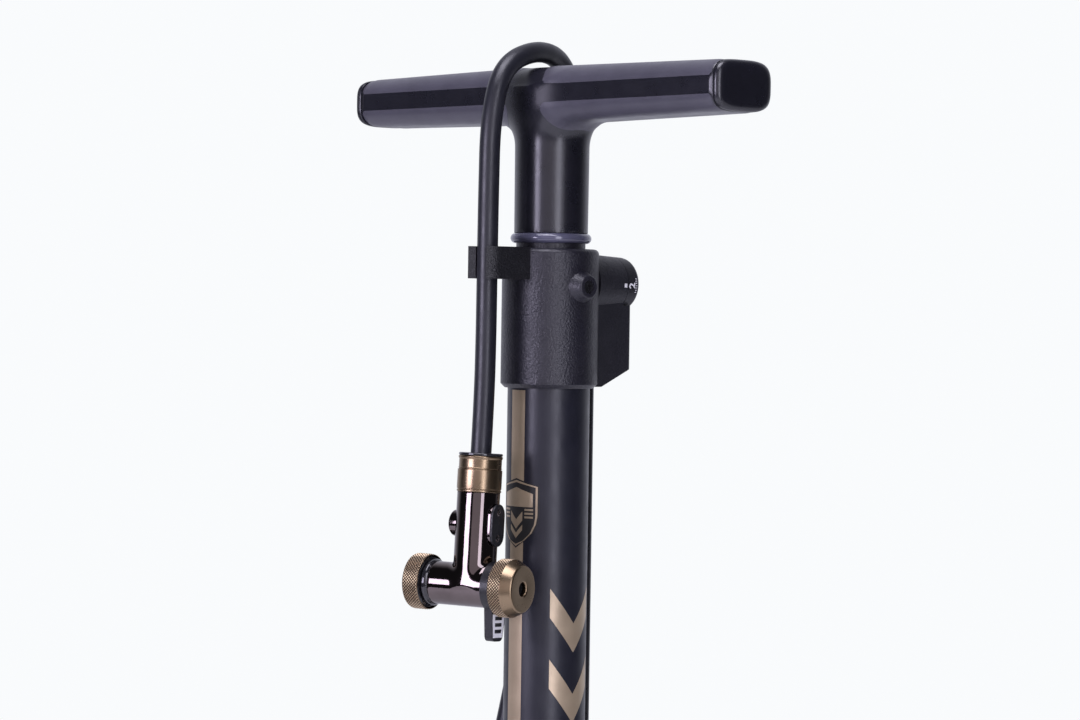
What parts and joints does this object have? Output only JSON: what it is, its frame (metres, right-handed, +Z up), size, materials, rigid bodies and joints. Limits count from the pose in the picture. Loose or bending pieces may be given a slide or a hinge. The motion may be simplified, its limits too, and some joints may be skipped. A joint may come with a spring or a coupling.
{
  "type": "two-stage bicycle floor pump",
  "caption": "Upright bicycle floor pump: T handle, capped barrel with a two-stage selector, base gauge, and a hose draped over the handle to a metal pump head.",
  "frame": {"origin": "on the floor under the barrel's axis, at the middle of the base", "axes": "+Z up along the barrel, X along the handle, gauge and hose clip towards -Y, stage selector towards +Y"},
  "size_m": [0.26, 0.16, 0.7584],
  "materials": {
    "cast_black": "satin",
    "barrel_black": "satin",
    "tube_black": "satin",
    "cap_plastic": "fine grain",
    "black_plastic": "matte",
    "handle_plastic": "satin",
    "grip_rubber": "satin",
    "rubber_black": "matte",
    "hose_rubber": "satin",
    "ring_rubber": "glossy",
    "bronze": "anodised",
    "dark_chrome": "polished",
    "black_chrome": "polished",
    "steel": "machined",
    "rod_steel": "polished",
    "brass": "machined",
    "dial_white": "printed",
    "needle_red": "matte",
    "lens": "clear",
    "spring_steel": "drawn",
    "knob_plastic": "matte"
  },
  "bodies": {
    "barrel": {"base_casting": "cast_black", "tread_pads": "rubber_black", "rubber_feet": "rubber_black", "foot_screws": "steel", "barrel_gasket": "rubber_black", "check_valve_disc": "brass", "check_valve_spring": "spring_steel", "barrel_tube": "barrel_black", "transfer_tube": "tube_black", "barrel_cap": "cap_plastic", "cap_screws": "steel", "rod_guide": "black_plastic", "rod_seals": "rubber_black", "bumper_ring": "ring_rubber", "hose_clip": "black_plastic", "selector_housing": "cap_plastic", "detent_ball": "steel", "detent_spring": "spring_steel", "gauge_case": "black_plastic", "bourdon_tube": "brass", "gauge_movement": "brass", "gauge_dial": "dial_white", "gauge_lens": "lens", "gauge_bezel": "bronze", "gauge_stem": "brass", "hose_fitting": "brass", "hose_front_run": "hose_rubber", "hose_rear_run": "hose_rubber"},
    "rod": {"piston_rod": "rod_steel", "piston_head": "black_plastic", "piston_seals": "rubber_black", "piston_nut": "steel", "hose_over_handle": "hose_rubber"},
    "handle": {"handle_core": "handle_plastic", "grip_pads_upper": "grip_rubber", "grip_pads_lower": "grip_rubber", "end_caps": "handle_plastic", "handle_screw": "steel", "handle_plug": "black_plastic"},
    "selector": {"selector_knob": "knob_plastic", "selector_spool": "black_plastic", "selector_o_ring": "rubber_black", "selector_screw": "steel"},
    "needle": {"gauge_needle": "needle_red"},
    "hose_swivel": {"hose_ferrule": "bronze"},
    "head": {"head_collar": "bronze", "head_body": "dark_chrome", "side_cover": "black_plastic", "side_cover_screws": "steel", "cross_gland": "black_chrome", "chuck_seal": "rubber_black", "button_spring": "spring_steel"},
    "button": {"release_button": "black_chrome"},
    "lever": {"thumb_lever": "black_plastic"},
    "chuck": {"chuck_knob": "bronze"},
    "tool_slider": {"tool_collar": "black_chrome"},
    "tool_knob": {"tool_knob": "bronze", "tool_shaft": "steel", "tool_knob_screw": "steel"}
  },
  "joints": [
    {"name": "handle_slide", "type": "slide", "parent": "barrel", "child": "rod", "axis": [0, 0, 1], "range_m": [0, 0.52]},
    {"name": "handle_spin", "type": "hinge", "parent": "rod", "child": "handle", "pos_m": [0, 0, 0.7], "axis": [0, 0, 1], "range_deg": [-5, 30]},
    {"name": "selector_turn", "type": "hinge", "parent": "barrel", "child": "selector", "pos_m": [0, 0.04, 0.6414], "axis": [0, 1, 0], "range_deg": [0, 90]},
    {"name": "needle_sweep", "type": "hinge", "parent": "barrel", "child": "needle", "pos_m": [0, -0.041, 0.062], "axis": [0, 0.8192, -0.5736], "range_deg": [0, 270], "stiffness_Nm_per_rad": 0.002},
    {"name": "hose_swivel_turn", "type": "hinge", "parent": "barrel", "child": "hose_swivel", "pos_m": [-0.052, 0.012, 0.04], "axis": [0, 0, 1], "continuous": true},
    {"name": "head_swivel", "type": "hinge", "parent": "barrel", "child": "head", "pos_m": [0, -0.0432, 0.5597], "axis": [0, 0.055, 0.9985], "range_deg": [-35, 20]},
    {"name": "button_press", "type": "slide", "parent": "head", "child": "button", "axis": [0.9563, 0.2919, -0.0161], "range_m": [0, 0.0015], "stiffness_N_per_m": 800, "springref_m": -0.0005},
    {"name": "lever_flip", "type": "hinge", "parent": "head", "child": "lever", "pos_m": [0, -0.04667, 0.49665], "axis": [-0.9563, -0.2919, 0.0161], "range_deg": [0, 90]},
    {"name": "chuck_turn", "type": "hinge", "parent": "head", "child": "chuck", "pos_m": [0, -0.04667, 0.49665], "axis": [0.9563, 0.2919, -0.0161], "continuous": true},
    {"name": "tool_pull", "type": "slide", "parent": "head", "child": "tool_slider", "axis": [-0.9563, -0.2919, 0.0161], "range_m": [0, 0.008]},
    {"name": "tool_turn", "type": "hinge", "parent": "tool_slider", "child": "tool_knob", "pos_m": [0, -0.04667, 0.49665], "axis": [0.9563, 0.2919, -0.0161], "continuous": true}
  ]
}
